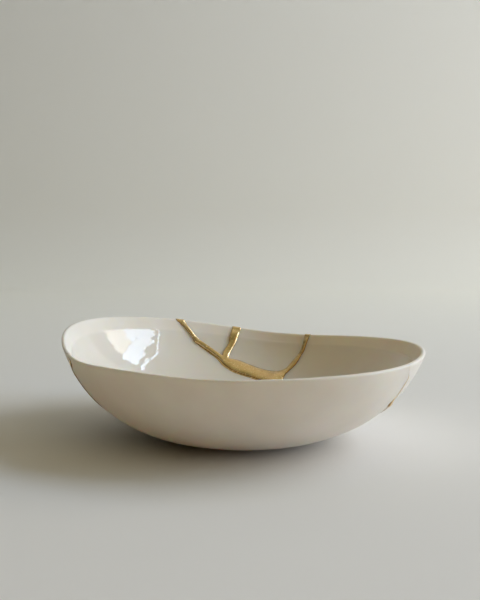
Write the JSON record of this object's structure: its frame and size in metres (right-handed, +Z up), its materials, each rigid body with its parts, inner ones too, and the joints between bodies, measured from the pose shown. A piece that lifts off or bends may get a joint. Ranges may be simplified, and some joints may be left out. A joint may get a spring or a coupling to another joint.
{
  "type": "kintsugi bowl",
  "caption": "Shallow hand-thrown porcelain bowl, squeezed slightly oval, with a waving lip on a small flat foot, broken and joined again with raised gold lacquer seams.",
  "frame": {"origin": "centre of the flat foot, on the surface that the bowl stands on", "axes": "+Z up, from the foot to the mouth; +Y to the back of the lip, where three seams run down to the gold pool; +X to the right when looking along +Y"},
  "size_m": [0.178, 0.184, 0.0521],
  "materials": {
    "glazed_porcelain": "glossy clear glaze over warm white inside, unglazed and matte outside",
    "gold_lacquer": "satin gold powder on raised lacquer"
  },
  "bodies": {
    "root": {"sherd_front_and_foot": "glazed_porcelain", "sherd_back_left": "glazed_porcelain", "sherd_back_right": "glazed_porcelain", "sherd_rim_small": "glazed_porcelain", "sherd_rim_middle": "glazed_porcelain", "gold_seams": "gold_lacquer"}
  },
  "joints": []
}
